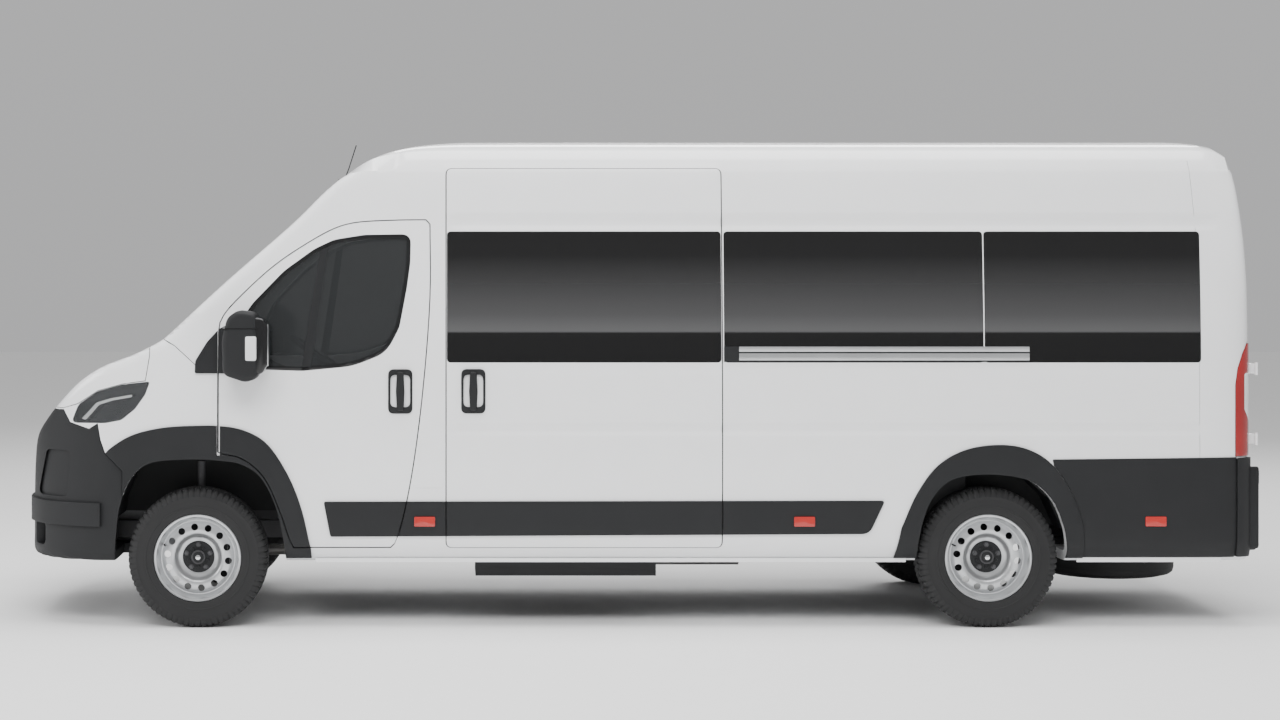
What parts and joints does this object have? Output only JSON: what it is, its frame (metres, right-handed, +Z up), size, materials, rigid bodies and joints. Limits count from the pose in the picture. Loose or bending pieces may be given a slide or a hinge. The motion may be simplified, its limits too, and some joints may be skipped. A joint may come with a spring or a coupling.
{
  "type": "minibus",
  "caption": "Long, high-roofed passenger minibus with hinged front and rear doors, a lifting bonnet, steered front wheels and free-rolling road wheels.",
  "frame": {"origin": "middle of the vehicle's length and width, on the ground", "axes": "+X to the front of the vehicle, +Y to its left, +Z up"},
  "size_m": [6.383, 2.508, 2.5],
  "materials": {
    "paint": "gloss",
    "trim": "grained",
    "interior": "matte",
    "seat": "woven",
    "glass": "tinted",
    "lamp_clear": "clear",
    "lamp_red": "gloss",
    "chassis": "satin",
    "engine": "cast",
    "exhaust": "dull",
    "rim": "silver paint",
    "tyre": "matte"
  },
  "bodies": {
    "body": {"floor": "chassis", "chassis_frame": "chassis", "front_crossmember": "chassis", "wheel_liners": "trim", "bulkhead": "chassis", "left_side": "paint", "right_side": "paint", "roof": "paint", "cowl": "trim", "front_wings": "paint", "front_bumper": "trim", "headlamps": "lamp_clear", "windscreen": "glass", "sliding_door": "paint", "sliding_door_glass": "glass", "side_glass": "glass", "rear_bumper": "trim", "tail_lamps": "lamp_red", "dashboard": "interior", "seat_cushions": "seat", "seat_backs": "seat", "engine": "engine", "front_subframe": "chassis", "rear_axle": "chassis", "fuel_tank": "trim", "exhaust": "exhaust", "spare_wheel": "tyre"},
    "left_door": {"left_front_door": "paint", "left_door_glass": "glass", "left_mirror": "trim"},
    "right_door": {"right_front_door": "paint", "right_door_glass": "glass", "right_mirror": "trim"},
    "left_back_door": {"left_rear_door": "paint", "left_rear_glass": "glass"},
    "right_back_door": {"right_rear_door": "paint", "right_rear_glass": "glass"},
    "hood": {"bonnet": "paint"},
    "hand_wheel": {"steering_wheel": "interior"},
    "left_upright": {"left_knuckle": "chassis"},
    "right_upright": {"right_knuckle": "chassis"},
    "front_left_wheel": {"front_left_rim": "rim", "front_left_tyre": "tyre"},
    "front_right_wheel": {"front_right_rim": "rim", "front_right_tyre": "tyre"},
    "rear_left_wheel": {"rear_left_rim": "rim", "rear_left_tyre": "tyre"},
    "rear_right_wheel": {"rear_right_rim": "rim", "rear_right_tyre": "tyre"}
  },
  "joints": [
    {"name": "left_door_hinge", "type": "hinge", "parent": "body", "child": "left_door", "pos_m": [2.1335, 1.028, 1.2], "axis": [0, 0, -1], "range_deg": [0, 70]},
    {"name": "right_door_hinge", "type": "hinge", "parent": "body", "child": "right_door", "pos_m": [2.1335, -1.028, 1.2], "axis": [0, 0, 1], "range_deg": [0, 70]},
    {"name": "left_back_door_hinge", "type": "hinge", "parent": "body", "child": "left_back_door", "pos_m": [-3.1815, 0.905, 1.4], "axis": [0, 0, -1], "range_deg": [0, 180]},
    {"name": "right_back_door_hinge", "type": "hinge", "parent": "body", "child": "right_back_door", "pos_m": [-3.1815, -0.905, 1.4], "axis": [0, 0, 1], "range_deg": [0, 180]},
    {"name": "hood_hinge", "type": "hinge", "parent": "body", "child": "hood", "pos_m": [2.4935, 0, 1.445], "axis": [0, -1, 0], "range_deg": [0, 60]},
    {"name": "left_steer", "type": "hinge", "parent": "body", "child": "left_upright", "pos_m": [2.2435, 0.765, 0.357], "axis": [0, 0, 1], "range_deg": [-35, 35]},
    {"name": "right_steer", "type": "hinge", "parent": "body", "child": "right_upright", "pos_m": [2.2435, -0.765, 0.357], "axis": [0, 0, 1], "range_deg": [-35, 35]},
    {"name": "hand_wheel_turn", "type": "hinge", "parent": "body", "child": "hand_wheel", "pos_m": [1.6835, -0.44, 1.33], "axis": [-0.5736, 0, 0.8192], "range_deg": [-525, 525]},
    {"name": "front_left_spin", "type": "hinge", "parent": "left_upright", "child": "front_left_wheel", "pos_m": [2.2435, 0.9, 0.357], "axis": [0, 1, 0], "continuous": true},
    {"name": "front_right_spin", "type": "hinge", "parent": "right_upright", "child": "front_right_wheel", "pos_m": [2.2435, -0.9, 0.357], "axis": [0, 1, 0], "continuous": true},
    {"name": "rear_left_spin", "type": "hinge", "parent": "body", "child": "rear_left_wheel", "pos_m": [-1.7915, 0.9, 0.357], "axis": [0, 1, 0], "continuous": true},
    {"name": "rear_right_spin", "type": "hinge", "parent": "body", "child": "rear_right_wheel", "pos_m": [-1.7915, -0.9, 0.357], "axis": [0, 1, 0], "continuous": true}
  ],
  "couplings": [
    {"joint": "right_steer", "follows": "left_steer", "ratio": 1},
    {"joint": "hand_wheel_turn", "follows": "left_steer", "ratio": 15}
  ]
}
